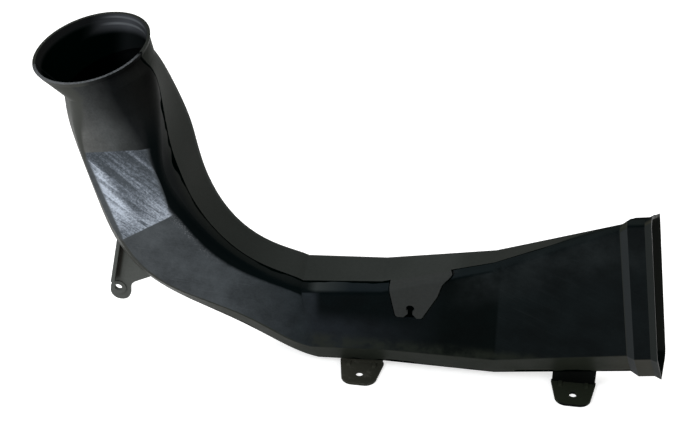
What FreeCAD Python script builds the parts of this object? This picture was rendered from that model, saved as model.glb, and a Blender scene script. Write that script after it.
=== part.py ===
# Moulded air intake duct: a front cover and a rear tray that meet along one open joint line.
import FreeCAD, Part
import math
import os
from collections import namedtuple

V = FreeCAD.Vector

# Frame: X runs along the leg to the wide mouth, Y from the cover to the tray, Z up.
# The origin is midway between the bolt holes of the two feet, on their seat plane. Sizes are in mm.

# Walls and joint
WALL = 2.5
JOINT_GAP = 0.9
LAP_CLEARANCE = 0.3
LAP_REACH = 5.0
LAP_ROOT = 6.0
SHARPEST_EDGE = 0.6

# Most of a side that the curves at its two ends may take
SIDE_SHARE = 0.96

# Distance of the joint plane behind the line of the feet's holes
JOINT_Y = 13.0

# Bolt holes and lugs
BOLT_HOLE_DIAMETER = 6.6
LUG_THICKNESS = 2.5
LUG_EDGE = 1.0

# Feet: flat plates that reach forward under the cover from a riser on the tray
FOOT_SPACING = 180.0
FOOT_TIP = 12.5
FOOT_TIP_WIDTH = 27.0
FOOT_TIP_RADIUS = 10.0
FOOT_ROOT_WIDTH = 38.0
FOOT_RISER_BEHIND_JOINT = 2.0
FOOT_RIB_WIDTH = 3.0
FOOT_RIB_SPACING = 22.0
FOOT_RIB_REACH = 9.0

# Side lug: an upright plate below the elbow, ribbed along its free edge, with a raised ring round its hole
SIDE_HOLE_X = -301.0
SIDE_HOLE_Z = 57.0
SIDE_LUG_BEHIND_JOINT = 6.0
SIDE_LUG_TIP_RADIUS = 9.5
SIDE_LUG_TIP_BELOW = 13.0
SIDE_LUG_TOP_X = -294.0
SIDE_LUG_TOP_Z = 122.0
SIDE_LUG_ROOT_X = -262.0
SIDE_LUG_ROOT_Z = 76.0
SIDE_LUG_WAIST_ASIDE = 11.0
SIDE_LUG_WAIST_ABOVE = 5.0
SIDE_RIB_WIDTH = 3.5
SIDE_RIB_HEIGHT = 5.0
BOSS_DIAMETER = 13.5
BOSS_HEIGHT = 1.2

# Round mouth: where its rim stands from the middle of the neck, the lean of its plane to the left and
# towards the cover in degrees, and its lip
RIM_ASIDE = -14.0
RIM_RISE = 19.0
RIM_BEHIND_JOINT = 14.0
RIM_LEAN = 11.0
RIM_NOD = 7.5
RIM_DIAMETER = 95.0
LIP_DEPTH = 4.0
LIP_FLARE = 1.6

# Wide mouth: the collar that steps out at the end of the leg
COLLAR_STEP = 4.0
COLLAR_STEP_LENGTH = 6.5
COLLAR_LENGTH = 13.0
COLLAR_LIP = 2.6
COLLAR_LIP_LENGTH = 5.5

# Tab of the tray that laps over the cover, with its open keyhole slot
TAB_LEFT = -74.0
TAB_LEFT_SHOULDER_Z = 101.0
TAB_LEFT_SIDE = -67.0
TAB_TIP_LEFT = -60.5
TAB_TIP_RIGHT = -39.0
TAB_RIGHT_SIDE = -26.5
TAB_RIGHT_SIDE_Z = 92.0
TAB_RIGHT_NECK = -23.0
TAB_RIGHT_NECK_Z = 105.0
TAB_RIGHT = -12.0
TAB_RIGHT_SHOULDER_Z = 116.0
TAB_TIP_Z = 67.0
TAB_CORNER_RADIUS = 3.0
TAB_SIDE_RADIUS = 14.0
SLOT_X = -48.5
SLOT_HEIGHT = 13.0
SLOT_HEAD_DIAMETER = 7.0
SLOT_NECK_WIDTH = 4.0
SLOT_FLARE_WIDTH = 11.0
SLOT_FLARE_HEIGHT = 4.0

# Cross-sections along the duct. Each stands on its outer edge at the joint plane (x, z) and reaches width
# along its lean, measured from +X towards +Z. front and rear are its depths each side of the joint plane,
# skirt the height of the sloped strip below the cover's face, roof the fall of the inner wall towards the
# back and skew the turn of the section about its lean, in degrees. edge, skirt_edge and back are the radii
# of its corners.
Section = namedtuple("Section", "x z lean width front rear skirt roof skew edge skirt_edge back")
NECK = Section(-327.0, 251.0, 21.0, 78.0, 30.5, 48.0, 20.0, 6.0, 0.0, 30.0, 26.0, 34.0)
UPRIGHT = Section(-326.0, 233.0, 14.5, 81.0, 28.5, 53.0, 17.0, 4.0, 0.0, 22.0, 16.0, 23.0)
SHOULDER = Section(-322.5, 210.5, 8.5, 78.5, 27.5, 54.0, 15.0, -5.0, 0.0, 15.0, 9.0, 15.0)
FOREARM = Section(-312.0, 165.0, 21.5, 77.5, 31.0, 51.0, 18.0, -10.0, 0.0, 14.0, 8.0, 13.0)
ELBOW = Section(-299.5, 119.5, 33.0, 82.0, 25.0, 47.0, 18.0, -8.0, 0.0, 13.0, 6.0, 12.0)
HEEL = Section(-272.0, 77.5, 44.0, 81.0, 21.0, 42.0, 19.0, -5.0, 0.0, 12.0, 5.0, 11.0)
RAMP = Section(-238.0, 56.0, 55.0, 72.0, 18.0, 39.0, 20.0, -4.0, 0.0, 11.0, 4.0, 10.0)
SHIN = Section(-187.0, 32.0, 75.0, 68.0, 15.0, 37.0, 21.0, -5.0, 0.0, 8.0, 4.0, 9.0)
KNEE = Section(-127.0, 4.5, 98.5, 82.5, 12.0, 36.0, 22.0, -9.0, 0.0, 6.0, 4.0, 8.0)
WAIST = Section(-72.0, 7.5, 91.0, 85.0, 12.0, 36.0, 23.0, -5.0, 0.0, 5.0, 4.0, 8.0)
BELLY = Section(23.0, 6.5, 93.0, 115.5, 13.0, 32.0, 25.0, 15.0, 0.0, 5.0, 4.0, 8.0)
END = Section(136.0, 22.0, 98.5, 149.0, 18.0, 24.0, 32.0, 32.0, 7.0, 5.0, 4.0, 7.0)

# Length of the flat facet on the cover, as a share of the way from the shoulder to the elbow
FACET_REACH = 1.5

# Larger than the duct in every direction, for the tools that trim it
BEYOND = 1000.0


def unit(a, b):
    """Direction from one flat point to another."""
    length = math.hypot(b[0] - a[0], b[1] - a[1])
    return (b[0] - a[0]) / length, (b[1] - a[1]) / length


def neighbours(corners):
    """Each corner with the one before and the one after it."""
    return zip(corners[-1:] + corners[:-1], corners, corners[1:] + corners[:1])


def half_turn(before, here, after):
    """Half the angle through which a polygon turns at a corner."""
    d0, d1 = unit(before, here), unit(here, after)
    return math.acos(max(-1.0, min(1.0, d0[0] * d1[0] + d0[1] * d1[1]))) / 2


def inset(corners, depth):
    """Moves every side of a polygon inwards by depth, outwards where it is negative, and keeps its radii."""
    spans = [before[0] * here[1] - here[0] * before[1] for before, here, _ in neighbours(corners)]
    hand = math.copysign(1.0, sum(spans))
    moved = []
    for before, here, after in neighbours(corners):
        d0, d1 = unit(before, here), unit(here, after)
        share = depth * hand / (1.0 + d0[0] * d1[0] + d0[1] * d1[1])
        moved.append((
            here[0] - (d0[1] + d1[1]) * share,
            here[1] + (d0[0] + d1[0]) * share,
            here[2],
        ))
    return moved


def rounded(corners):
    """Start, two pulls and end of the curve at each corner, with each radius kept within its two sides."""
    reaches = [
        here[2] * math.tan(half_turn(before, here, after))
        for before, here, after in neighbours(corners)
    ]
    count = len(corners)
    room = []
    for i in range(count):
        here, after = corners[i], corners[(i + 1) % count]
        side = math.hypot(after[0] - here[0], after[1] - here[1])
        room.append(SIDE_SHARE * side / (reaches[i] + reaches[(i + 1) % count]))
    curves = []
    for i, (before, here, after) in enumerate(neighbours(corners)):
        d0, d1 = unit(before, here), unit(here, after)
        half = half_turn(before, here, after)
        reach = reaches[i] * min(1.0, room[i - 1], room[i])
        slack = reach * (1.0 - 4.0 / 3.0 * math.tan(half / 2) / math.tan(half))
        arriving = [(here[0] - d0[0] * length, here[1] - d0[1] * length) for length in (reach, slack)]
        leaving = [(here[0] + d1[0] * length, here[1] + d1[1] * length) for length in (slack, reach)]
        curves.append(arriving + leaving)
    return curves


def curve_edge(poles):
    """Cubic edge through its first and last pole."""
    curve = Part.BezierCurve()
    curve.setPoles(poles)
    return curve.toShape()


def rounded_wire(corners, origin, first, second):
    """Closed wire of a rounded polygon laid on two directions from an origin."""
    curves = [[origin + first * p[0] + second * p[1] for p in curve] for curve in rounded(corners)]
    edges = []
    for curve, following in zip(curves, curves[1:] + curves[:1]):
        edges.append(curve_edge(curve))
        edges.append(Part.LineSegment(curve[-1], following[0]).toShape())
    return Part.Wire(edges)


def corners_of(section):
    """The five corners of a section as (along the lean, towards the back, edge radius)."""
    fall = math.tan(math.radians(section.roof))
    return [
        (section.width + section.front * fall, -section.front, section.edge),
        (section.width - section.rear * fall, section.rear, section.back),
        (0.0, section.rear, section.back),
        (0.0, 0.0, section.skirt_edge),
        (section.skirt, -section.front, section.skirt_edge),
    ]


def section_wire(section, depth):
    """Closed wire of a section, inset by depth."""
    lean, skew = math.radians(section.lean), math.radians(section.skew)
    along = V(math.cos(lean), 0, math.sin(lean))
    forward = V(math.sin(lean), 0, -math.cos(lean))
    back = V(0, 1, 0) * math.cos(skew) + forward * math.sin(skew)
    origin = V(section.x, JOINT_Y, section.z)
    return rounded_wire(inset(corners_of(section), depth), origin, along, back)


def ring_wire(radius, below, depth):
    """Circle of the round mouth, inset by depth, cut where the neck is so that the two join cleanly."""
    lean, nod = math.radians(RIM_LEAN), math.radians(RIM_NOD)
    across = V(math.cos(lean), 0, math.sin(lean))
    upright = V(-math.sin(lean), 0, math.cos(lean))
    back = V(0, 1, 0) * math.cos(nod) + upright * math.sin(nod)
    out = upright * math.cos(nod) - V(0, 1, 0) * math.sin(nod)
    middle = NECK.width / 2
    neck_lean = math.radians(NECK.lean)
    rim_x = NECK.x + middle * math.cos(neck_lean) + RIM_ASIDE
    rim_z = NECK.z + middle * math.sin(neck_lean) + RIM_RISE
    centre = V(rim_x, JOINT_Y + RIM_BEHIND_JOINT, rim_z) - out * below
    angles = [
        math.atan2(point[1] - RIM_BEHIND_JOINT, point[0] - middle)
        for curve in rounded(corners_of(NECK))
        for point in (curve[0], curve[-1])
    ]
    edges = []
    for first, second in zip(angles, angles[1:] + angles[:1]):
        pull = 4.0 / 3.0 * math.tan((second - first) % (2 * math.pi) / 4)
        poles = []
        for angle, pulls in ((first, (0.0, pull)), (second, (-pull, 0.0))):
            outwards = across * math.cos(angle) + back * math.sin(angle)
            onwards = back * math.cos(angle) - across * math.sin(angle)
            poles += [centre + (outwards + onwards * share) * (radius - depth) for share in pulls]
        edges.append(curve_edge(poles))
    return Part.Wire(edges)


def mouth_runs(depth):
    """Runs of the round mouth, from the rim down to the neck."""
    radius = RIM_DIAMETER / 2
    rim = ring_wire(radius, 0.0, depth)
    lip = ring_wire(radius - LIP_FLARE, LIP_DEPTH, depth)
    return [[rim, lip], [lip, section_wire(NECK, depth)]]


def leg_runs(depth):
    """Runs from the neck to the end of the leg. Each run is smooth, and runs meet at the cover's creases."""
    runs = [
        [NECK, UPRIGHT, SHOULDER, FOREARM, ELBOW, HEEL, RAMP, SHIN, KNEE],
        [KNEE, WAIST],
        [WAIST, BELLY],
        [BELLY, END],
    ]
    return [[section_wire(section, depth) for section in run] for run in runs]


def collar_runs(depth):
    """Runs of the wide mouth's collar, from the end of the leg to the lip."""
    lean = math.radians(END.lean)
    flat = COLLAR_STEP_LENGTH + COLLAR_LENGTH
    steps = [
        (0.0, 0.0),
        (COLLAR_STEP, COLLAR_STEP_LENGTH),
        (COLLAR_STEP, flat),
        (COLLAR_STEP + COLLAR_LIP, flat + COLLAR_LIP_LENGTH),
    ]
    wires = []
    for growth, forward in steps:
        moved = END._replace(x=END.x + forward * math.sin(lean), z=END.z - forward * math.cos(lean))
        wires.append(section_wire(moved, depth - growth))
    return [wires[i:i + 2] for i in range(len(wires) - 1)]


def lofted(runs):
    """Solid lofted through runs of wires, closed by flat faces at both ends."""
    faces = [Part.Face(runs[0][0]), Part.Face(runs[-1][-1])]
    for run in runs:
        faces += Part.makeLoft(run, False, len(run) == 2).Faces
    skin = Part.Shell(faces)
    skin.sewShape()
    solid = Part.Solid(Part.Shell(skin.Faces))
    if solid.Volume < 0:
        solid.reverse()
    return solid


def beyond_facet(depth):
    """Everything before the cover's flat facet, inset by depth. The facet starts on the shoulder's line."""
    ends = []
    for section, reach in ((SHOULDER, 0.0), (SHOULDER, SHOULDER.width), (ELBOW, ELBOW.width / 2)):
        lean = math.radians(section.lean)
        x = section.x + reach * math.cos(lean)
        z = section.z + reach * math.sin(lean)
        ends.append(V(x, JOINT_Y - section.front + depth, z))
    left, right, low = ends
    fall = (low - (left + right) / 2) * FACET_REACH
    facet = Part.Face(Part.makePolygon([left, right, right + fall, left + fall, left]))
    return facet.extrude(V(0, -SHOULDER.rear, 0))


def duct(depth):
    """The whole duct as a solid, inset by depth, from rim to lip."""
    return lofted(mouth_runs(depth) + leg_runs(depth) + collar_runs(depth)).cut(beyond_facet(depth))


def leg(depth):
    """The leg alone as a solid, inset by depth, between the two mouths."""
    return lofted(leg_runs(depth)).cut(beyond_facet(depth))


def behind(start, stop=BEYOND):
    """Slab between two distances behind the joint plane."""
    return Part.makeBox(2 * BEYOND, stop - start, 2 * BEYOND, V(-BEYOND, JOINT_Y + start, -BEYOND))


def upright_plate(corners, start, stop):
    """Plate with a rounded outline in X and Z, between two distances behind the joint plane."""
    wire = rounded_wire(corners, V(0, JOINT_Y + start, 0), V(1, 0, 0), V(0, 0, 1))
    return Part.Face(wire).extrude(V(0, stop - start, 0))


def tab_prism(growth):
    """Space of the tab seen from the front, grown on every side, from well before the cover to the joint."""
    top = WAIST.z + WAIST.width + BELLY.width
    corners = [
        (TAB_LEFT, top, SHARPEST_EDGE),
        (TAB_LEFT, TAB_LEFT_SHOULDER_Z, SHARPEST_EDGE),
        (TAB_LEFT_SIDE, TAB_LEFT_SHOULDER_Z - TAB_CORNER_RADIUS, TAB_CORNER_RADIUS),
        (TAB_TIP_LEFT, TAB_TIP_Z, TAB_CORNER_RADIUS),
        (TAB_TIP_RIGHT, TAB_TIP_Z, TAB_CORNER_RADIUS),
        (TAB_RIGHT_SIDE, TAB_RIGHT_SIDE_Z, TAB_SIDE_RADIUS),
        (TAB_RIGHT_NECK, TAB_RIGHT_NECK_Z, TAB_SIDE_RADIUS),
        (TAB_RIGHT, TAB_RIGHT_SHOULDER_Z, SHARPEST_EDGE),
        (TAB_RIGHT, top, SHARPEST_EDGE),
    ]
    return upright_plate(inset(corners, -growth), -BELLY.front - BELLY.rear, JOINT_GAP / 2)


def tab_slot():
    """Keyhole slot, open at the tab's tip."""
    head = SLOT_HEAD_DIAMETER / 2
    neck = SLOT_NECK_WIDTH / 2
    flare = SLOT_FLARE_WIDTH / 2
    centre_z = TAB_TIP_Z + SLOT_HEIGHT - head
    depth = BELLY.front + BELLY.rear
    right_side = [
        (flare, TAB_TIP_Z - head),
        (flare, TAB_TIP_Z),
        (neck, TAB_TIP_Z + SLOT_FLARE_HEIGHT),
        (neck, centre_z),
    ]
    left_side = [(-x, z) for x, z in reversed(right_side)]
    points = right_side + left_side + right_side[:1]
    throat = Part.Face(Part.makePolygon([V(SLOT_X + x, JOINT_Y - depth, z) for x, z in points]))
    round_head = Part.makeCylinder(head, depth, V(SLOT_X, JOINT_Y - depth, centre_z), V(0, 1, 0))
    return throat.extrude(V(0, depth, 0)).fuse(round_head)


def bolt_hole(x, y, z, axis):
    """Cutter for a bolt hole through a lug."""
    centre = V(x, y, z) - axis * BOSS_DIAMETER
    return Part.makeCylinder(BOLT_HOLE_DIAMETER / 2, 2 * BOSS_DIAMETER, centre, axis)


def foot(x):
    """One foot: its plate, its riser up to the tray's floor, and two ribs between them."""
    riser_y = JOINT_Y + FOOT_RISER_BEHIND_JOINT
    back_y = riser_y + LUG_THICKNESS
    half_tip, half_root = FOOT_TIP_WIDTH / 2, FOOT_ROOT_WIDTH / 2
    corners = [
        (x - half_tip, -FOOT_TIP, FOOT_TIP_RADIUS),
        (x + half_tip, -FOOT_TIP, FOOT_TIP_RADIUS),
        (x + half_root, back_y, LUG_EDGE),
        (x - half_root, back_y, LUG_EDGE),
    ]
    outline = rounded_wire(corners, V(0, 0, 0), V(1, 0, 0), V(0, 1, 0))
    plate = Part.Face(outline).extrude(V(0, 0, LUG_THICKNESS))
    height = END.z + KNEE.skirt
    riser_width = FOOT_ROOT_WIDTH - 2 * LUG_EDGE
    riser = Part.makeBox(riser_width, LUG_THICKNESS, height, V(x - riser_width / 2, riser_y, 0))
    made = plate.fuse(riser)
    for side in (-1, 1):
        rib_x = x + side * FOOT_RIB_SPACING / 2 - FOOT_RIB_WIDTH / 2
        rib = Part.makePolygon([
            V(rib_x, riser_y - FOOT_RIB_REACH, LUG_THICKNESS / 2),
            V(rib_x, riser_y + LUG_THICKNESS / 2, LUG_THICKNESS / 2),
            V(rib_x, riser_y + LUG_THICKNESS / 2, LUG_THICKNESS + LUG_EDGE),
            V(rib_x, riser_y - FOOT_RIB_REACH / 2, LUG_THICKNESS + LUG_EDGE),
            V(rib_x, riser_y - FOOT_RIB_REACH, LUG_THICKNESS / 2),
        ])
        made = made.fuse(Part.Face(rib).extrude(V(FOOT_RIB_WIDTH, 0, 0)))
    return made.cut(bolt_hole(x, 0, 0, V(0, 0, 1)))


def side_lug():
    """The lug below the elbow: plate, rib along its free edge, and ring round its hole."""
    front = SIDE_LUG_BEHIND_JOINT
    tip = SIDE_LUG_TIP_RADIUS
    top = (SIDE_LUG_TOP_X, SIDE_LUG_TOP_Z)
    tip_z = SIDE_HOLE_Z - SIDE_LUG_TIP_BELOW
    heel = (SIDE_HOLE_X - tip, tip_z)
    corners = [
        (*top, LUG_EDGE),
        (*heel, tip),
        (SIDE_HOLE_X + tip, tip_z, tip),
        (SIDE_HOLE_X + SIDE_LUG_WAIST_ASIDE, SIDE_HOLE_Z + SIDE_LUG_WAIST_ABOVE, tip),
        (SIDE_LUG_ROOT_X, SIDE_LUG_ROOT_Z, LUG_EDGE),
    ]
    plate = upright_plate(corners, front, front + LUG_THICKNESS)
    down = unit(top, heel)
    length = top[1] - SIDE_HOLE_Z - BOSS_DIAMETER / 2
    foot_of_rib = (top[0] + down[0] * length, top[1] + down[1] * length)
    rib_corners = [
        (*top, SHARPEST_EDGE),
        (*foot_of_rib, SHARPEST_EDGE),
        (foot_of_rib[0] + SIDE_RIB_WIDTH, foot_of_rib[1], SHARPEST_EDGE),
        (top[0] + SIDE_RIB_WIDTH, top[1], SHARPEST_EDGE),
    ]
    rib = upright_plate(rib_corners, front - SIDE_RIB_HEIGHT, front + LUG_THICKNESS / 2)
    y = JOINT_Y + front
    boss_foot = V(SIDE_HOLE_X, y - BOSS_HEIGHT, SIDE_HOLE_Z)
    boss = Part.makeCylinder(BOSS_DIAMETER / 2, BOSS_HEIGHT + LUG_THICKNESS / 2, boss_foot, V(0, 1, 0))
    return plate.fuse(rib).fuse(boss).cut(bolt_hole(SIDE_HOLE_X, y, SIDE_HOLE_Z, V(0, 1, 0)))


def front_shell(outer, inner):
    """The cover, with a lap flange that goes inside the tray and steps in under the tab."""
    lap_zone = behind(-LAP_ROOT).fuse(tab_prism(LAP_ROOT)).common(leg(-WALL))
    thick = outer.cut(inner.cut(lap_zone)).cut(leg(2 * WALL))
    beyond_joint = behind(-JOINT_GAP / 2).cut(leg(WALL + LAP_CLEARANCE))
    under_tab = tab_prism(JOINT_GAP).cut(leg(WALL))
    return thick.cut(beyond_joint).cut(behind(LAP_REACH)).cut(under_tab)


def rear_shell(outer, inner):
    """The tray, with its tab, feet and side lug."""
    walls = outer.cut(inner).common(behind(JOINT_GAP / 2).fuse(tab_prism(0.0)))
    under_tab = leg(WALL - LAP_CLEARANCE).common(behind(-BEYOND, JOINT_GAP / 2))
    walls = walls.cut(under_tab).cut(tab_slot())
    lugs = [foot(side * FOOT_SPACING / 2) for side in (-1, 1)] + [side_lug()]
    hollow = leg(WALL / 2)
    for lug in lugs:
        walls = walls.fuse(lug.cut(hollow))
    return walls


def main():
    os.makedirs("parts", exist_ok=True)
    outer, inner = duct(0.0), duct(WALL)
    pieces = {"front_shell": front_shell(outer, inner), "rear_shell": rear_shell(outer, inner)}
    for name, shape in pieces.items():
        shape.exportStep(f"parts/{name}.step")


main()
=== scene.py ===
"""Studio scene of the moulded air intake duct: its plastic finishes, the light and the camera."""
import bpy
import math
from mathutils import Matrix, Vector


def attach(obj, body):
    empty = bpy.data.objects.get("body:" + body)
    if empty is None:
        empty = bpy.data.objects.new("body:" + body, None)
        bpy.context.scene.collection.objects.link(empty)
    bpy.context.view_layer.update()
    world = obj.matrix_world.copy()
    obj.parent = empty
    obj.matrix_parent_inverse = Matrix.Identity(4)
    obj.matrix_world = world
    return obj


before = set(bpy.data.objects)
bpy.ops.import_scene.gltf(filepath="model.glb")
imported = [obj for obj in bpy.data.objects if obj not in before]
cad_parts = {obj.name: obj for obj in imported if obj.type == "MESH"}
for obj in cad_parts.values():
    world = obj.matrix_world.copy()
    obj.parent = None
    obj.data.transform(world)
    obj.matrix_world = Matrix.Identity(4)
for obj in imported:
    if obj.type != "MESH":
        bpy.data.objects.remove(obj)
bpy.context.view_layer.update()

MM = 0.001

# Camera: angles in degrees, distance in metres
CAMERA_AZIMUTH = 8.5
CAMERA_ELEVATION = 35.0
CAMERA_DISTANCE = 1.2
CAMERA_TARGET = Vector((-100, 13, 152)) * MM
SENSOR_WIDTH = 36.0
LENS = 77.14

# Light: (name, place and size in metres, watts, colour)
LAMPS = [
    ("key", (-1.1, -0.9, 1.3), 1.1, 16.0, (0.92, 0.96, 1.0)),
    ("fill", (1.1, -0.9, 0.9), 1.2, 5.0, (1.0, 0.98, 0.95)),
    ("top", (0.0, 0.7, 1.5), 1.0, 9.0, (1.0, 0.99, 0.96)),
]
WHITE = (1, 1, 1, 1)
WORLD_LEVEL = 0.45
FLOOR_COLOUR = (0.86, 0.86, 0.85, 1)
FLOOR_ROUGHNESS = 0.9
FLOOR_GLOSS = 0.1
FLOOR_WHITE = 0.62
FLOOR_SIZE = 8.0

# Places from here on are in millimetres, and a span is where a change begins and where it is complete

# Joint between the shells: its middle and gap in Y, and the ends of the lap inside it
JOINT_Y = 13.0
JOINT_GAP = 0.9
NECK_LAP_TOP = 235.0
LEG_LAP_END = 105.0
JOINT_FACING = 0.98
JOINT_TOLERANCE = 0.05

# Mouths and collar: a point and the direction out of the duct
ROUND_MOUTH = (-304.6, 27.0, 284.0)
ROUND_MOUTH_OUT = (-0.189, -0.131, 0.973)
WIDE_MOUTH = (150.0, 17.0, 99.5)
WIDE_MOUTH_OUT = (0.989, 0.0, 0.148)
COLLAR_START = (136.0, 13.0, 22.0)

# Upper edge of the leg where it widens: a point and the direction out of the duct
LEG_TOP = (23.0, 0.0, 121.0)
LEG_TOP_UP = (-0.39, 0.0, 0.92)

# Creases of the cover above and below its facet with the painted reflection: a point (x, z) and the lean of
# the crease
UPPER_CREASE = ((-322.5, 210.5), 8.5)
LOWER_CREASE = ((-299.5, 119.5), 33.0)

# Edges of the cover, a point and the direction across: the facet's left and right, and the neck's left
FACET_EDGE = (-307.7, 0.0, 212.7)
FACET_ACROSS = (0.963, 0.0, 0.269)
FACET_END = (-255.0, 0.0, 219.4)
FACET_PAST = (0.972, 0.0, 0.235)
NECK_EDGE = (-326.0, 0.0, 233.0)
NECK_ACROSS = (0.966, 0.0, 0.259)

# Top of the rib on the side lug and the direction away from the rib
RIB_TOP = (-294.0, 0.0, 122.0)
RIB_ASIDE = (0.978, 0.0, -0.207)

# Tab and its recess in the cover: the place of the front face in Y at the tab's left, and its slope with X
TAB_LEFT = -74.0
TAB_RIGHT = -12.0
TAB_BOTTOM = 60.0
TAB_FACE_Y = 1.0
TAB_FACE_SLOPE = -0.0105
RECESS_DEPTH = 1.2
RECESS_STEP = (-0.2, 0.2)
RECESS_FACING = (0.86, 0.9)
RECESS_LEFT = (TAB_LEFT - 2.0, TAB_LEFT - 1.0)
RECESS_RIGHT = (TAB_RIGHT + 2.0, TAB_RIGHT + 1.0)
RECESS_FOOT = (TAB_BOTTOM, TAB_BOTTOM + 1.0)

# Insides of the mouths, with painted light on the flare and painted shadow deeper in: the depth where each
# starts, is full and ends
MOUTH_END = 150.0
FLARE_DEPTHS = (-1.0, 0.5, MOUTH_END)
ROUND_SHADOW = (8.0, 14.0, MOUTH_END)
LEFT_SHADOW = (3.0, 7.0, MOUTH_END)
WIDE_SHADOW = (-12.0, -8.0, 40.0)
WIDE_SHADOW_SHARE = 0.7
TURNED_IN = (0.0, -2.0)
LEFT_SIDE = (-308.0, -325.0)

# Painted light in the round mouth: the depths and width of the lines of painted highlight, and the painted
# glow of light on the far wall
FLARE_LINES = (2.5, 7.0)
SHINE_WIDTH = (1.3, 0.2)
SHINE_LEFT = (-312.0, -292.0)
SHINE_RIGHT = (-262.0, -276.0)
GLOW_LEFT = (-300.0, -285.0)
GLOW_RIGHT = (-262.0, -272.0)
GLOW_HEIGHT = (-48.0, -28.0)
GLOW_SHARE = 0.1

# End of the lap inside the neck, in painted shadow, and the painted highlight on the front of the round rim:
# which way they face and their heights
LAP_END_FACING = (0.6, 0.8)
LAP_END_TOP = (-10.0, -14.0)
LAP_END_FOOT = (-70.0, -60.0)
RIM_FACING = (0.55, 0.85)
RIM_HEIGHT = (-2.5, -1.5)
RIM_FRONT = (20.0, 0.0)
RIM_SHARES = (0.3, 0.9)

# Dark line along the joint: its widths, how much wider it is on the neck, and the inner side that it keeps to
SEAM_SPAN = (0.40, 0.66)
SEAM_WIDTHS = (0.2, 2.2)
SEAM_NECK_FOOT = (150.0, 200.0)
SEAM_NECK_TOP = (272.0, 250.0)
SEAM_NECK_TIMES = 2.8
SEAM_EDGE = (-0.3, 0.1)
SEAM_INNER_X = (-292.0, -286.0)
SEAM_INNER_Z = (165.0, 150.0)

# Neck: how its band of painted sheen leans below the lip, and the painted shade under the lip
NECK_FOOT = (-0.5, 0.5)
SLANT_ACROSS = (15.0, 60.0)
SLANT = -0.15
LIP_SHADE = (-44.0, -20.0)
LIP_LEVELS = (1.0, 0.62)
LIP_WAVE = 12.0

# Leg: the black band of painted shade beside the tab, the wiped part that begins at a crease, and the upper
# side with painted light
BAND_LEFT = (-130.0, -122.0)
BAND_RIGHT = (-20.0, -60.0)
BAND_FOOT = (50.0, 70.0)
BAND_SHARE = 0.95
WIPE_START = (22.6, 23.4)
WIPE_HAIRS = (0.48, 0.78)
WIPE_FADE = (120.0, 50.0)
WIPE_SHARES = (0.15, 0.5)
TOP_DEPTH = (-34.0, -4.0)
TOP_LEFT = (-25.0, 10.0)
TOP_SHARES = (0.25, 0.9)
TOP_START = (-25.0, -5.0)
TOP_FACING = (0.3, 0.6)

# Facet with a painted reflection of bright light and real scuffing: its borders, the painted bright stripe
# along its left edge and the worn lower part, where the painted reflection is brighter and scraped
FACET_TOP = (-0.4, 0.4)
FACET_FOOT = (0.6, -0.6)
FACET_FACING = (0.62, 0.76)
FACET_LEFT = (2.0, 4.5)
FACET_RIGHT = (2.5, -3.0)
STRIPE_LEAN = 0.26
STRIPE_ACROSS = (11.0, 1.0)
STRIPE_TOP = (-6.0, 30.0)
STRIPE_LEVEL = 0.56
WORN_TOP = (40.0, 70.0)
WORN_LEVEL = 0.30
STREAK_SPAN = (0.38, 0.64)
STREAK_LEVELS = (0.0, 0.42)
WORN_STREAKS = (1.0, 0.5)
MOTTLE_LEVELS = (-0.18, 0.16)
FINE_SPAN = (0.56, 0.72)
FINE_LEVELS = (0.0, 0.22)
SCRAPE_SPAN = (0.54, 0.66)
SCRAPE_LEVEL = -0.34

# Patches low on the facet: spans past the lower crease and in from the left edge, and the change of level
FACET_PATCHES = [
    ((-26.0, -2.0), (34.0, 12.0), -0.42),
    ((-26.0, -6.0), (14.0, 36.0), 0.36),
    ((-18.0, -4.0), (40.0, 54.0), 0.26),
]

# Clouds over the cover's front: the range of each, and the scratches below the facet
SMUDGE_LEVELS = (0.74, 1.16)
PATCH_LEVELS = (-0.10, 0.10)
MOTTLE_CLOUD = (-0.08, 0.08)
SCRATCH_SPAN = (0.64, 0.74)
SCRATCH_LEVELS = (0.0, 0.35)
SCRATCH_START = (0.0, 4.0)

# Inner wall of the cover, painted by the way it faces: where it turns from black painted shade to grey
# painted light on the elbow and on the leg, and its borders
LEG_START = (-150.0, -126.0)
GREY_FULL = (0.14, 0.50)
GREY_START = (0.26, 0.92)
GREY_DEPTH = (0.0, 11.0)
WALL_INNER = (0.16, 0.5)
WALL_FRONT = (0.95, 0.80)
WALL_TOP = (-45.0, 5.0)
EDGE_TOP = (-6.0, -0.6)
EDGE_FOOT = (2.0, -8.0)
EDGE_LEFT = (-1.0, 3.5)

# Painted highlight in speckles along the rounded edge below the facet
SPECKLE_BEFORE = (0.80, 0.92)
SPECKLE_AFTER = (0.997, 0.965)
SPECKLE_INNER = (0.02, 0.12)
SPECKLE_TOP = (-2.0, 4.0)
SPECKLE_RIGHT = (-195.0, -232.0)
SPECKLE_SPAN = (0.50, 0.68)
SPECKLE_PATCH = (0.35, 0.6)
SPECKLE_SHARE = 0.55

# Skirt with a painted reflection of the floor, spread above it in patches, and the flank of the collar with
# its lip in painted light
SKIRT_OUTER = (-0.12, -0.38)
SKIRT_SHEEN_TOP = (46.0, 35.0)
SKIRT_SHEEN_LEFT = (-145.0, -130.0)
SKIRT_SHEEN_FRONT = (0.8, 0.95)
SKIRT_SHEEN_SHARES = (0.1, 0.8)
FLANK_FACING = (-0.16, -0.34)
FLANK_FRONT = (0.4, 0.7)
FLANK_START = (-3.0, -1.0)
LIP_START = (10.0, 14.0)

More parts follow.
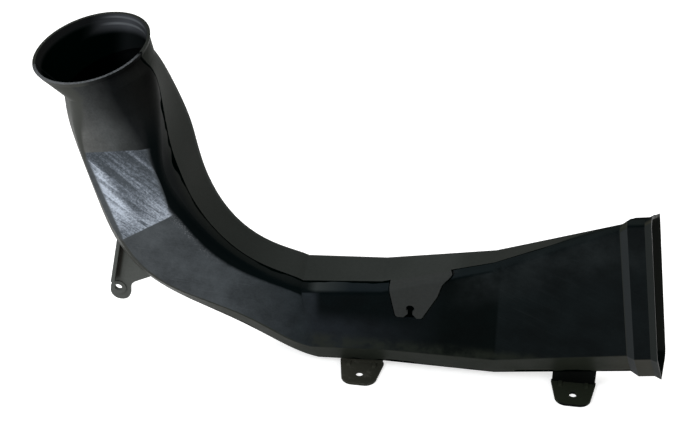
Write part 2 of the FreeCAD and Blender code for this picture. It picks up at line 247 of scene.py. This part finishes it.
# Tray: the end of its lit strip at the joint and how far that moves along X with depth, the tab and the edge
STRIP_LEAN = 2.2
STRIP_END = (55.0, 65.0)
TAB_FRONT = (JOINT_Y - 0.5, JOINT_Y - 1.5)
TAB_FOOT = (50.0, 55.0)
TRAY_EDGE_Y = JOINT_Y + JOINT_GAP / 2
TRAY_EDGE_FRONT = (TRAY_EDGE_Y - 0.3, TRAY_EDGE_Y - 0.2)
TRAY_EDGE_BACK = (TRAY_EDGE_Y + 0.3, TRAY_EDGE_Y + 0.2)
TRAY_EDGE_FACING = (0.9, 0.95)
CLOUD_LEVELS = (0.9, 1.08)
SPECK_LEVELS = (-0.05, 0.05)

# Feet and side lug: their borders, the riser in painted shade, the dust and the painted shadow beside the rib
FOOT_TOP = (45.0, 44.0)
FOOT_BACK = (18.0, 17.5)
LUG_RIGHT = (-255.0, -262.0)
LUG_TOP = (118.0, 110.0)
LUG_BACK = (24.0, 22.0)
RISER_FACING = (0.7, 0.9)
RISER_LEFT = (20.0, 40.0)
DUST_SPAN = (0.56, 0.72)
DUST_RIGHT = (0.0, -40.0)
DUST_SHARE = 0.6
RIB_SIDE = (2.6, 3.4)
RIB_FADE = (8.0, 5.0)
RIB_FOOT = (64.0, 70.0)
RIB_SHARE = 0.85

# Noise: size in millimetres, detail and roughness
SMUDGE = (38.0, 4.0, 0.6)
PATCH = (14.0, 4.0, 0.6)
MOTTLE = (1.8, 3.0, 0.7)
SPECKLE = (1.1, 2.0, 0.7)
SEAM_PATCHES = (26.0, 2.0, 0.5)
COVER_GRAIN = (0.7, 2.0, 0.55)
CLOUD = (90.0, 4.0, 0.6)
SPECK = (2.4, 2.0, 0.7)
DUST = (9.0, 3.0, 0.6)
TRAY_GRAIN = (0.8, 3.0, 0.55)

# The middle and the core of the range of a noise
MIDDLE = (0.3, 0.7)
CORE = (0.35, 0.65)

# Streaks: lean in degrees, length and width in millimetres, detail, roughness and distortion
BROAD_STREAKS = (42, 70, 6, 3.0, 0.6, 0.5)
FINE_STREAKS = (47, 34, 0.9, 2.0, 0.6, 0.0)
SCRAPES = (35, 14, 1.3, 2.0, 0.6, 0.0)
SCRATCHES = (8, 26, 0.8, 2.0, 0.6, 0.0)
HAIRS = (22, 60, 1.6, 2.0, 0.7, 0.0)

# Gloss, roughness and relief of the plastics
COVER_GLOSS = 0.015
COVER_ROUGHNESS = (0.34, 0.46)
HAIR_ROUGHNESS = 0.08
HAIR_RELIEF = 1.2
COVER_RELIEF = 0.03
TRAY_GLOSS = 0.03
BACK_GLOSS = 0.3
BACK_FACING = (0.55, 0.85)
TRAY_ROUGHNESS_SPAN = (0.2, 0.8)
TRAY_ROUGHNESS = (0.50, 0.64)
SPECK_RELIEF = 0.4
TRAY_RELIEF = 0.05
JOINT_ROUGHNESS = 0.8

# Tones of the plastic, several with painted light and shade in them, as red, green and blue from 0 to 255,
# along a measure in millimetres
# Front of the cover along X: a painted sheen, light at the elbow and dark towards the wide mouth, a step
# lighter past the crease on the leg
FRONT_SHEEN_TONES = [
    (-330, (75, 78, 80)),
    (-225, (70, 74, 77)),
    (-140, (36, 41, 44)),
    (-126, (30, 34, 38)),
    (-20, (3, 7, 7)),
    (22.4, (3, 7, 7)),
    (23.2, (13, 18, 19)),
    (165, (15, 19, 20)),
]
# Across the neck: a painted sheen in a band down its front, with painted shade to both sides
NECK_SHEEN_TONES = [
    (-16, (42, 43, 41)),
    (12, (98, 98, 96)),
    (40, (76, 78, 78)),
    (66, (22, 24, 25)),
    (82, (22, 23, 22)),
]
# Inner wall of the cover along X: painted light where it turns away from the front
WALL_LIGHT_TONES = [
    (-330, (26, 26, 24)),
    (-230, (20, 23, 21)),
    (-135, (13, 17, 17)),
    (-127, (44, 48, 48)),
    (-98, (19, 25, 28)),
    (165, (24, 28, 27)),
]
# Skirt along X: a painted reflection of the floor
SKIRT_REFLECTION_TONES = [
    (-330, (70, 71, 68)),
    (-200, (44, 46, 41)),
    (-40, (32, 36, 31)),
    (110, (33, 36, 30)),
    (136, (50, 50, 44)),
]
TRAY_TONES = [
    (-350, (38, 40, 36)),
    (-190, (35, 38, 36)),
    (-40, (46, 49, 47)),
    (165, (45, 46, 43)),
]
FOOT_TONES = [
    (-280, (86, 88, 85)),
    (-110, (58, 58, 51)),
    (-70, (46, 47, 41)),
    (90, (36, 40, 32)),
]
# Flare inside the round mouth along X: painted light
FLARE_LIGHT_TONES = [
    (-352, (20, 21, 21)),
    (-318, (16, 18, 19)),
    (-285, (66, 68, 72)),
    (-255, (30, 31, 32)),
]

# Tones of the facet along the level of its painted reflection and scuffing, from 0 to 1
FACET_SHEEN_AND_SCUFF_TONES = [
    (0.0, (70, 75, 80)),
    (0.35, (98, 104, 112)),
    (0.7, (142, 149, 159)),
    (1.0, (182, 190, 202)),
]

# Single tones
# Painted shade, beside the tab and along the rounded edge of the inner wall
BLACK_SHADE_TONE = (3, 8, 9)
TAB_TONE = (47, 49, 48)
STRIP_END_TONE = (25, 29, 28)
# Painted light on the flank of the collar
STEP_LIGHT_TONE = (43, 46, 47)
# Painted highlight inside the round mouth and on the front of its rim
SHINE_TONE = (92, 95, 98)
# Real wiping on the leg, and painted light on the leg's upper side
WIPE_AND_SHEEN_TONE = (27, 31, 32)
# Painted highlight in speckles along the rounded edge below the facet
SPECKLE_HIGHLIGHT_TONE = (118, 122, 127)
# Painted light on the collar's lip
LIP_LIGHT_TONE = (38, 41, 40)
# Painted shade on the front of the foot's riser
RISER_SHADE_TONE = (9, 11, 10)
# Painted shadow beside the lug's rib
RIB_SHADOW_TONE = (32, 30, 24)
DUST_TONE = (78, 78, 72)
SHADOW_TONE = (0, 3, 2)
# Painted shade of the open joint at the mouths
JOINT_SHADE_TONE = (8, 10, 10)


def linear(tone):
    """Linear colour of a tone."""
    shares = [value / 255 for value in tone]
    return [s / 12.92 if s <= 0.04045 else ((s + 0.055) / 1.055) ** 2.4 for s in shares] + [1.0]


class Finish:
    """One material, with short calls for the nodes that it is made of. Its places are in millimetres."""

    def __init__(self, name):
        self.material = bpy.data.materials.new(name)
        self.material.use_nodes = True
        self.tree = self.material.node_tree
        self.shader = self.tree.nodes["Principled BSDF"]
        metres = self.tree.nodes.new("ShaderNodeTexCoord").outputs["Object"]
        self.place = self.vector("DIVIDE", metres, (MM, MM, MM))
        self.x, self.y, self.z = self.split(self.place)
        self.normal = self.tree.nodes.new("ShaderNodeNewGeometry").outputs["Normal"]
        self.nx, self.ny, self.nz = self.split(self.normal)
        self.front = self.product(self.ny, -1.0)
        self.inner = self.total(self.nx, self.nz)

    def feed(self, socket, value):
        """Links an output to a socket, or sets the socket to a constant."""
        if isinstance(value, bpy.types.NodeSocket):
            self.tree.links.new(value, socket)
        else:
            socket.default_value = value

    def split(self, vector):
        """The three parts of a vector."""
        node = self.tree.nodes.new("ShaderNodeSeparateXYZ")
        self.feed(node.inputs[0], vector)
        return node.outputs[0], node.outputs[1], node.outputs[2]

    def math(self, operation, *values):
        """Output of one math node."""
        node = self.tree.nodes.new("ShaderNodeMath")
        node.operation = operation
        for socket, value in zip(node.inputs, values):
            self.feed(socket, value)
        return node.outputs[0]

    def vector(self, operation, *values):
        """Output of one vector math node."""
        node = self.tree.nodes.new("ShaderNodeVectorMath")
        node.operation = operation
        for socket, value in zip(node.inputs, values):
            self.feed(socket, value)
        return node.outputs["Value" if operation == "DOT_PRODUCT" else "Vector"]

    def product(self, first, *others):
        """Product of several values."""
        for other in others:
            first = self.math("MULTIPLY", first, other)
        return first

    def total(self, first, *others):
        """Sum of several values."""
        for other in others:
            first = self.math("ADD", first, other)
        return first

    def most(self, first, *others):
        """The largest of several values."""
        for other in others:
            first = self.math("MAXIMUM", first, other)
        return first

    def rest(self, share):
        """What a share leaves of one."""
        return self.math("SUBTRACT", 1.0, share)

    def between(self, share, start, stop):
        """Value that goes evenly from start to stop with a share."""
        return self.total(self.product(share, stop - start), start)

    def rise(self, value, low, high, start=0.0, stop=1.0):
        """Smooth step of a value from start at low to stop at high."""
        node = self.tree.nodes.new("ShaderNodeMapRange")
        node.interpolation_type = "SMOOTHSTEP"
        for socket, given in zip(node.inputs, (value, low, high, start, stop)):
            self.feed(socket, given)
        return node.outputs[0]

    def where(self, *limits):
        """Share of the places where every value is through its span."""
        return self.product(*[self.rise(value, *span) for value, span in limits])

    def mix(self, share, first, second, blend="MIX"):
        """Blend of two colours, by the node's sockets for colour: 6 and 7 in, 2 out."""
        node = self.tree.nodes.new("ShaderNodeMix")
        node.data_type = "RGBA"
        node.blend_type = blend
        self.feed(node.inputs[0], share)
        self.feed(node.inputs[6], first)
        self.feed(node.inputs[7], second)
        return node.outputs[2]

    def tinted(self, colour, tone, *shares):
        """Colour turned towards one tone by the product of the shares."""
        return self.mix(self.product(*shares), colour, linear(tone))

    def scaled(self, colour, level):
        """Colour made lighter or darker by a level."""
        return self.mix(1.0, colour, level, "MULTIPLY")

    def tones(self, value, stops):
        """Colour along a value, through tones at their stops."""
        low, high = stops[0][0], stops[-1][0]
        share = self.tree.nodes.new("ShaderNodeMapRange")
        for socket, given in zip(share.inputs, (value, low, high)):
            self.feed(socket, given)
        node = self.tree.nodes.new("ShaderNodeValToRGB")
        self.feed(node.inputs[0], share.outputs[0])
        elements = node.color_ramp.elements
        for place, tone in stops[1:-1]:
            elements.new((place - low) / (high - low)).color = linear(tone)
        elements[0].color = linear(stops[0][1])
        elements[-1].color = linear(stops[-1][1])
        return node.outputs[0]

    def along(self, point, direction):
        """How far each place lies from a point along a direction."""
        return self.vector("DOT_PRODUCT", self.vector("SUBTRACT", self.place, point), direction)

    def past(self, crease):
        """How far each place lies past a crease of the cover, on the way to the wide mouth."""
        (x, z), lean = crease
        across = math.radians(lean)
        return self.along((x, 0.0, z), (math.sin(across), 0.0, -math.cos(across)))

    def facing(self, direction):
        """How far the surface faces a direction, 1 when it faces it squarely."""
        return self.vector("DOT_PRODUCT", self.normal, direction)

    def noise(self, size, detail, roughness, distortion=0.0, vector=None):
        """Cloudy noise of a size, in millimetres or in the measure of the vector given."""
        node = self.tree.nodes.new("ShaderNodeTexNoise")
        self.feed(node.inputs["Vector"], vector or self.place)
        node.inputs["Scale"].default_value = 1.0 / size
        node.inputs["Detail"].default_value = detail
        node.inputs["Roughness"].default_value = roughness
        node.inputs["Distortion"].default_value = distortion
        return node.outputs["Fac"]

    def streaks(self, lean, length, width, detail, roughness, distortion):
        """Noise drawn out into streaks that run down to the right at a lean."""
        node = self.tree.nodes.new("ShaderNodeMapping")
        node.vector_type = "TEXTURE"
        self.feed(node.inputs["Vector"], self.place)
        node.inputs["Rotation"].default_value = (0, math.radians(lean), 0)
        node.inputs["Scale"].default_value = (length, length, width)
        return self.noise(1.0, detail, roughness, distortion, node.outputs[0])

    def inside(self, centre, out, start, stop, end):
        """Share of a mouth's inside at each place: none at depth start, all from stop, none past end."""
        offset = self.vector("SUBTRACT", self.place, centre)
        height = self.vector("DOT_PRODUCT", offset, out)
        level = self.product(height, self.facing(out))
        away = self.math("SUBTRACT", self.vector("DOT_PRODUCT", offset, self.normal), level)
        return self.where((away, TURNED_IN), (height, (-start, -stop)), (height, (-end, 1.0 - end)))

    def flare(self, colour):
        """Colour with painted light on the flare inside the round mouth, and two lines of painted highlight
        along it.
        """
        within = self.inside(ROUND_MOUTH, ROUND_MOUTH_OUT, *FLARE_DEPTHS)
        colour = self.mix(within, colour, self.tones(self.x, FLARE_LIGHT_TONES))
        height = self.along(ROUND_MOUTH, ROUND_MOUTH_OUT)
        lit = self.product(within, self.where((self.x, SHINE_LEFT), (self.x, SHINE_RIGHT)))
        for line in FLARE_LINES:
            aside = self.math("ABSOLUTE", self.total(height, line))
            colour = self.tinted(colour, SHINE_TONE, lit, self.rise(aside, *SHINE_WIDTH))
        return colour

    def mouths(self):
        """Share of the painted shadow inside the two mouths and at the end of the lap in the neck, a little
        less where a painted glow lies on the round mouth's far wall.
        """
        right_side = self.inside(ROUND_MOUTH, ROUND_MOUTH_OUT, *ROUND_SHADOW)
        left_side = self.inside(ROUND_MOUTH, ROUND_MOUTH_OUT, *LEFT_SHADOW)
        round_mouth = self.most(right_side, self.product(left_side, self.rise(self.x, *LEFT_SIDE)))
        height = self.along(ROUND_MOUTH, ROUND_MOUTH_OUT)
        glow = self.where((self.x, GLOW_LEFT), (self.x, GLOW_RIGHT), (height, GLOW_HEIGHT))
        round_mouth = self.product(round_mouth, self.rest(self.product(glow, GLOW_SHARE)))
        wide_mouth = self.inside(WIDE_MOUTH, WIDE_MOUTH_OUT, *WIDE_SHADOW)
        lap_end = self.where(
            (self.facing(ROUND_MOUTH_OUT), LAP_END_FACING),
            (height, LAP_END_TOP),
            (height, LAP_END_FOOT),
        )
        return self.most(round_mouth, self.product(wide_mouth, WIDE_SHADOW_SHARE), lap_end)

    def leg_top(self):
        """Share of the upper side of the leg, where it widens."""
        return self.where((self.x, TOP_START), (self.nz, TOP_FACING))

    def relief(self, height, distance):
        """Fine relief of the surface, with a distance in millimetres."""
        node = self.tree.nodes.new("ShaderNodeBump")
        node.inputs["Strength"].default_value = 1.0
        node.inputs["Distance"].default_value = distance * MM
        self.feed(node.inputs["Height"], height)
        self.feed(self.shader.inputs["Normal"], node.outputs[0])

    def finish(self, colour, roughness, specular, shadow=None):
        """Sets the shader. Where there is painted shadow or a dark line at the joint, the colour turns dark
        and the gloss goes.
        """
        if shadow:
            colour = self.tinted(colour, SHADOW_TONE, shadow)
            specular = self.product(self.rest(shadow), specular)
        self.feed(self.shader.inputs["Base Color"], colour)
        self.feed(self.shader.inputs["Roughness"], roughness)
        self.feed(self.shader.inputs["Specular IOR Level"], specular)


def neck_colour(f, smudge):
    """Colour of the neck: a painted sheen in a band down its front, painted shade to both sides and under the
    lip.
    """
    across = f.along(NECK_EDGE, NECK_ACROSS)
    above = f.math("MINIMUM", f.past(UPPER_CREASE), 0.0)
    slant = f.product(above, f.rise(across, *SLANT_ACROSS), SLANT)
    colour = f.tones(f.total(across, slant), NECK_SHEEN_TONES)
    height = f.along(ROUND_MOUTH, ROUND_MOUTH_OUT)
    under_lip = f.total(height, f.rise(smudge, *MIDDLE, -LIP_WAVE, LIP_WAVE))
    return f.scaled(colour, f.rise(under_lip, *LIP_SHADE, *LIP_LEVELS))


def leg_colour(f, smudge, hair):
    """Colour of the front below the neck: a painted sheen, light at the elbow and dark further on, painted
    shade black beside the tab, wiped where it widens, and painted light on its upper side.
    """
    colour = f.tones(f.x, FRONT_SHEEN_TONES)
    # Painted shade, black, beside the tab
    shade_beside_tab = f.where((f.x, BAND_LEFT), (f.x, BAND_RIGHT), (f.z, BAND_FOOT))
    colour = f.tinted(colour, BLACK_SHADE_TONE, shade_beside_tab, BAND_SHARE)
    wiped = f.where((f.x, WIPE_START), (hair, WIPE_HAIRS))
    colour = f.tinted(colour, WIPE_AND_SHEEN_TONE, wiped, f.rise(f.x, *WIPE_FADE, *WIPE_SHARES))
    # Painted light on the upper side of the leg, where it widens
    lit_upper_side = f.where((f.along(LEG_TOP, LEG_TOP_UP), TOP_DEPTH), (f.x, TOP_LEFT))
    return f.tinted(colour, WIPE_AND_SHEEN_TONE, lit_upper_side, f.rise(smudge, *CORE, *TOP_SHARES))


def facet_sheen_and_scuffs(f, mottle):
    """Colour of the cover's facet, a painted reflection of bright light with real scuffing and scratches over
    it, and the share of it at each place.
    """
    below = f.past(UPPER_CREASE)
    beyond = f.past(LOWER_CREASE)
    inwards = f.along(FACET_EDGE, FACET_ACROSS)
    share = f.where(
        (below, FACET_TOP),
        (beyond, FACET_FOOT),
        (f.front, FACET_FACING),
        (inwards, FACET_LEFT),
        (f.along(FACET_END, FACET_PAST), FACET_RIGHT),
    )
    reach = f.math("SUBTRACT", inwards, f.product(below, STRIPE_LEAN))
    stripe = f.where((reach, STRIPE_ACROSS), (below, STRIPE_TOP))
    worn = f.rise(below, *WORN_TOP)
    streak = f.rise(f.streaks(*BROAD_STREAKS), *STREAK_SPAN, *STREAK_LEVELS)
    patches = [
        f.product(f.where((beyond, down), (inwards, aside)), change)
        for down, aside, change in FACET_PATCHES
    ]
    level = f.total(
        f.product(streak, f.rise(worn, 0.0, 1.0, *WORN_STREAKS)),
        f.product(stripe, STRIPE_LEVEL),
        f.product(worn, WORN_LEVEL),
        f.rise(mottle, *MIDDLE, *MOTTLE_LEVELS),
        f.rise(f.streaks(*FINE_STREAKS), *FINE_SPAN, *FINE_LEVELS),
        *patches,
        f.product(f.rise(f.streaks(*SCRAPES), *SCRAPE_SPAN), worn, SCRAPE_LEVEL),
    )
    return f.tones(level, FACET_SHEEN_AND_SCUFF_TONES), share


def front_clouds(f, smudge, patch, mottle):
    """Level of the uneven tone over the cover's front, in cloudy smudges and patches, with the scratches
    below the facet.
    """
    scratch = f.rise(f.streaks(*SCRATCHES), *SCRATCH_SPAN, *SCRATCH_LEVELS)
    return f.total(
        f.rise(smudge, *MIDDLE, *SMUDGE_LEVELS),
        f.rise(patch, *MIDDLE, *PATCH_LEVELS),
        f.rise(mottle, *MIDDLE, *MOTTLE_CLOUD),
        f.product(scratch, f.rise(f.past(LOWER_CREASE), *SCRATCH_START)),
    )


def inner_wall(f, colour, facet_share):
    """Colour with painted light and shade on the cover's inner wall: black painted shade along its rounded
    edge, and grey painted light towards the joint, where it turns away from the front.
    """
    below = f.past(UPPER_CREASE)
    on_leg = f.rise(f.x, *LEG_START)
    grey = f.rise(f.front, f.between(on_leg, *GREY_START), f.between(on_leg, *GREY_FULL))
    near_joint = f.most(f.rise(f.y, *GREY_DEPTH), on_leg)
    wall = f.mix(f.product(grey, near_joint), linear(BLACK_SHADE_TONE), f.tones(f.x, WALL_LIGHT_TONES))
    inward = f.where((f.inner, WALL_INNER), (f.front, WALL_FRONT), (below, WALL_TOP))
    beside_facet = f.where(
        (below, EDGE_TOP),
        (f.past(LOWER_CREASE), EDGE_FOOT),
        (f.along(FACET_END, FACET_PAST), EDGE_LEFT),
    )
    return f.mix(f.most(f.product(inward, f.rest(facet_share)), beside_facet), colour, wall)


def edge_highlight(f, colour, patch):
    """Colour with a painted highlight, broken into light speckles, along the cover's rounded edge below the
    facet.
    """
    speckled = f.where(
        (f.front, SPECKLE_BEFORE),
        (f.front, SPECKLE_AFTER),
        (f.inner, SPECKLE_INNER),
        (f.past(LOWER_CREASE), SPECKLE_TOP),
        (f.x, SPECKLE_RIGHT),
        (f.noise(*SPECKLE), SPECKLE_SPAN),
        (patch, SPECKLE_PATCH),
    )
    return f.tinted(colour, SPECKLE_HIGHLIGHT_TONE, speckled, SPECKLE_SHARE)


def skirt_and_collar(f, colour, patch):
    """Colour with a painted reflection of the floor on the cover's skirt, and painted light on the flank of
    its collar.
    """
    sheen_above_skirt = f.product(
        f.where((f.z, SKIRT_SHEEN_TOP), (f.x, SKIRT_SHEEN_LEFT), (f.front, SKIRT_SHEEN_FRONT)),
        f.rise(patch, *CORE, *SKIRT_SHEEN_SHARES),
    )
    outward = f.most(f.rise(f.inner, *SKIRT_OUTER), sheen_above_skirt)
    colour = f.mix(outward, colour, f.tones(f.x, SKIRT_REFLECTION_TONES))
    on_collar = f.along(COLLAR_START, WIDE_MOUTH_OUT)
    # Painted light on the flank of the collar, where it faces left
    flared = f.where((f.nx, FLANK_FACING), (on_collar, FLANK_START), (f.front, FLANK_FRONT))
    flank = f.mix(f.rise(on_collar, *LIP_START), linear(STEP_LIGHT_TONE), linear(LIP_LIGHT_TONE))
    return f.mix(flared, colour, flank)


def rim_highlight(f, colour, mottle):
    """Colour with a mottled painted highlight on the front of the round rim."""
    height = f.along(ROUND_MOUTH, ROUND_MOUTH_OUT)
    rim = f.where((f.facing(ROUND_MOUTH_OUT), RIM_FACING), (height, RIM_HEIGHT), (f.y, RIM_FRONT))
    return f.tinted(colour, SHINE_TONE, rim, f.rise(mottle, *CORE, *RIM_SHARES))


def under_tab(f):
    """Share of the recess in the cover that lies in the shadow of the tab."""
    along_tab = f.math("SUBTRACT", f.x, TAB_LEFT)
    floor_y = f.total(TAB_FACE_Y + RECESS_DEPTH, f.product(along_tab, TAB_FACE_SLOPE))
    return f.where(
        (f.math("SUBTRACT", f.y, floor_y), RECESS_STEP),
        (f.front, RECESS_FACING),
        (f.x, RECESS_LEFT),
        (f.x, RECESS_RIGHT),
        (f.z, RECESS_FOOT),
    )


def seam(f):
    """Share of the dark line along the joint, whose width changes from place to place."""
    width = f.rise(f.noise(*SEAM_PATCHES), *SEAM_SPAN, *SEAM_WIDTHS)
    on_neck = f.where((f.z, SEAM_NECK_FOOT), (f.z, SEAM_NECK_TOP))
    width = f.product(width, f.between(on_neck, 1.0, SEAM_NECK_TIMES))
    to_joint = f.total(f.y, width, JOINT_GAP / 2 - JOINT_Y)
    inner_side = f.most(f.rise(f.x, *SEAM_INNER_X), f.rise(f.z, *SEAM_INNER_Z))
    return f.product(f.rise(to_joint, *SEAM_EDGE), inner_side)


def cover_plastic():
    """Black moulding with painted light and shade: a painted sheen towards the elbow, a painted reflection
    with real scuffing on its facet, grey painted light on its inner wall and a painted reflection of the
    floor on its skirt.
    """
    f = Finish("cover_plastic")
    smudge = f.noise(*SMUDGE)
    patch = f.noise(*PATCH)
    mottle = f.noise(*MOTTLE)
    hair = f.streaks(*HAIRS)
    on_leg = f.rise(f.past(UPPER_CREASE), *NECK_FOOT)
    colour = f.mix(on_leg, neck_colour(f, smudge), leg_colour(f, smudge, hair))
    facet_colour, facet_share = facet_sheen_and_scuffs(f, mottle)
    colour = f.mix(facet_share, colour, facet_colour)
    colour = f.scaled(colour, front_clouds(f, smudge, patch, mottle))
    colour = inner_wall(f, colour, facet_share)
    colour = edge_highlight(f, colour, patch)
    colour = skirt_and_collar(f, colour, patch)
    colour = rim_highlight(f, f.flare(colour), mottle)
    roughness = f.total(f.rise(smudge, *MIDDLE, *COVER_ROUGHNESS), f.product(hair, HAIR_ROUGHNESS))
    gloss = f.rise(f.leg_top(), 0.0, 1.0, COVER_GLOSS, 0.0)
    f.finish(colour, roughness, gloss, f.most(under_tab(f), seam(f), f.mouths()))
    f.relief(f.total(f.noise(*COVER_GRAIN), f.product(hair, HAIR_RELIEF)), COVER_RELIEF)
    return f.material


def lugs(f, colour):
    """Colour with the tray's feet and side lug, painted shade on the front of the riser, the dust and painted
    shadow beside the rib.
    """
    foot = f.where((f.z, FOOT_TOP), (f.y, FOOT_BACK))
    lug = f.where((f.x, LUG_RIGHT), (f.z, LUG_TOP), (f.y, LUG_BACK))
    colour = f.mix(f.most(foot, lug), colour, f.tones(f.x, FOOT_TONES))
    riser = f.where((f.front, RISER_FACING), (f.x, RISER_LEFT))
    colour = f.tinted(colour, RISER_SHADE_TONE, foot, riser)
    dusty = f.where((f.noise(*DUST), DUST_SPAN), (f.x, DUST_RIGHT))
    colour = f.tinted(colour, DUST_TONE, foot, dusty, DUST_SHARE)
    beside_rib = f.along(RIB_TOP, RIB_ASIDE)
    rib_shadow = f.where((beside_rib, RIB_SIDE), (beside_rib, RIB_FADE), (f.z, RIB_FOOT))
    return f.tinted(colour, RIB_SHADOW_TONE, lug, rib_shadow, RIB_SHARE)


def tray_plastic():
    """Matt grey-black moulding with a fine grain, greyer on the tab and on the lugs."""
    f = Finish("tray_plastic")
    cloud = f.noise(*CLOUD)
    speck = f.noise(*SPECK)
    on_top = f.leg_top()
    behind_joint = f.math("SUBTRACT", f.y, JOINT_Y)
    past_strip = f.math("SUBTRACT", f.x, f.product(behind_joint, STRIP_LEAN))
    colour = f.tinted(f.tones(f.x, TRAY_TONES), STRIP_END_TONE, f.rise(past_strip, *STRIP_END), on_top)
    colour = f.tinted(colour, TAB_TONE, f.where((f.y, TAB_FRONT), (f.z, TAB_FOOT)))
    colour = lugs(f, colour)
    uneven = f.total(f.rise(cloud, *MIDDLE, *CLOUD_LEVELS), f.rise(speck, *MIDDLE, *SPECK_LEVELS))
    colour = f.flare(f.scaled(colour, uneven))
    on_edge = f.where((f.y, TRAY_EDGE_FRONT), (f.y, TRAY_EDGE_BACK), (f.front, TRAY_EDGE_FACING))
    roughness = f.rise(cloud, *TRAY_ROUGHNESS_SPAN, *TRAY_ROUGHNESS)
    gloss = f.product(f.rise(f.ny, *BACK_FACING, TRAY_GLOSS, BACK_GLOSS), f.rest(on_top))
    f.finish(colour, roughness, gloss, f.most(on_edge, f.mouths()))
    f.relief(f.total(f.noise(*TRAY_GRAIN), f.product(speck, SPECK_RELIEF)), TRAY_RELIEF)
    return f.material


def floor_paint():
    """Pale floor that keeps its shadow, and is near white to the camera and in reflections."""
    f = Finish("floor_paint")
    f.finish(FLOOR_COLOUR, FLOOR_ROUGHNESS, FLOOR_GLOSS)
    path = f.tree.nodes.new("ShaderNodeLightPath").outputs
    seen = f.most(path["Is Camera Ray"], path["Is Glossy Ray"], path["Is Transmission Ray"])
    f.shader.inputs["Emission Color"].default_value = WHITE
    f.feed(f.shader.inputs["Emission Strength"], f.product(seen, FLOOR_WHITE))
    return f.material


def close_joint():
    """Strip in the open joint at the two mouths, past the ends of the lap, that keeps the light out."""
    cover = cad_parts["front_shell"].data
    edge_y = (JOINT_Y - JOINT_GAP / 2) * MM
    faces = []
    for face in cover.polygons:
        at_mouth = face.center.z > NECK_LAP_TOP * MM or face.center.x > LEG_LAP_END * MM
        on_joint = abs(face.center.y - edge_y) < JOINT_TOLERANCE * MM
        if at_mouth and on_joint and face.normal.y > JOINT_FACING:
            faces.append([tuple(cover.vertices[index].co) for index in face.vertices])
    places = sorted({place for face in faces for place in face})
    order = {place: index for index, place in enumerate(places)}
    mesh = bpy.data.meshes.new("mouth_joint_strip")
    mesh.from_pydata(places, [], [[order[place] for place in face] for face in faces])
    strip = bpy.data.objects.new("mouth_joint_strip", mesh)
    bpy.context.scene.collection.objects.link(strip)
    thick = strip.modifiers.new("thickness", "SOLIDIFY")
    thick.thickness = JOINT_GAP * MM
    thick.offset = 1.0
    # The strip is dark, as painted shade in the open joint
    f = Finish("joint_shadow")
    f.finish(linear(JOINT_SHADE_TONE), JOINT_ROUGHNESS, TRAY_GLOSS)
    mesh.materials.append(f.material)
    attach(strip, "root")


def add_floor():
    """Wide floor at the plane of the feet."""
    mesh = bpy.data.meshes.new("floor")
    half = FLOOR_SIZE / 2
    corners = [(-half, -half, 0), (half, -half, 0), (half, half, 0), (-half, half, 0)]
    mesh.from_pydata(corners, [], [(0, 1, 2, 3)])
    floor = bpy.data.objects.new("floor", mesh)
    bpy.context.scene.collection.objects.link(floor)
    mesh.materials.append(floor_paint())


def add_lamps():
    """Soft lamps aimed at the duct, and an even white world."""
    for name, place, size, watts, colour in LAMPS:
        lamp = bpy.data.lights.new(name, "AREA")
        lamp.shape = "DISK"
        lamp.size = size
        lamp.energy = watts
        lamp.color = colour
        holder = bpy.data.objects.new(name, lamp)
        holder.location = place
        holder.rotation_euler = (CAMERA_TARGET - Vector(place)).to_track_quat("-Z", "Y").to_euler()
        bpy.context.scene.collection.objects.link(holder)
    world = bpy.data.worlds.new("studio")
    world.use_nodes = True
    background = world.node_tree.nodes["Background"]
    background.inputs["Color"].default_value = WHITE
    background.inputs["Strength"].default_value = WORLD_LEVEL
    bpy.context.scene.world = world


def add_camera():
    """Camera in front of the duct, above it and a little to the right."""
    azimuth, elevation = math.radians(CAMERA_AZIMUTH), math.radians(CAMERA_ELEVATION)
    back = Vector((
        math.sin(azimuth) * math.cos(elevation),
        -math.cos(azimuth) * math.cos(elevation),
        math.sin(elevation),
    ))
    lens = bpy.data.cameras.new("camera")
    lens.sensor_fit = "HORIZONTAL"
    lens.sensor_width = SENSOR_WIDTH
    lens.lens = LENS
    camera = bpy.data.objects.new("camera", lens)
    camera.location = CAMERA_TARGET + back * CAMERA_DISTANCE
    camera.rotation_euler = (-back).to_track_quat("-Z", "Y").to_euler()
    bpy.context.scene.collection.objects.link(camera)
    bpy.context.scene.camera = camera


def paint(node, material):
    """Gives one piece of the duct its material."""
    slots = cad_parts[node].data.materials
    slots.clear()
    slots.append(material)


add_camera()
add_lamps()
add_floor()
close_joint()
paint("front_shell", cover_plastic())
paint("rear_shell", tray_plastic())
bpy.context.scene.view_settings.view_transform = "Standard"
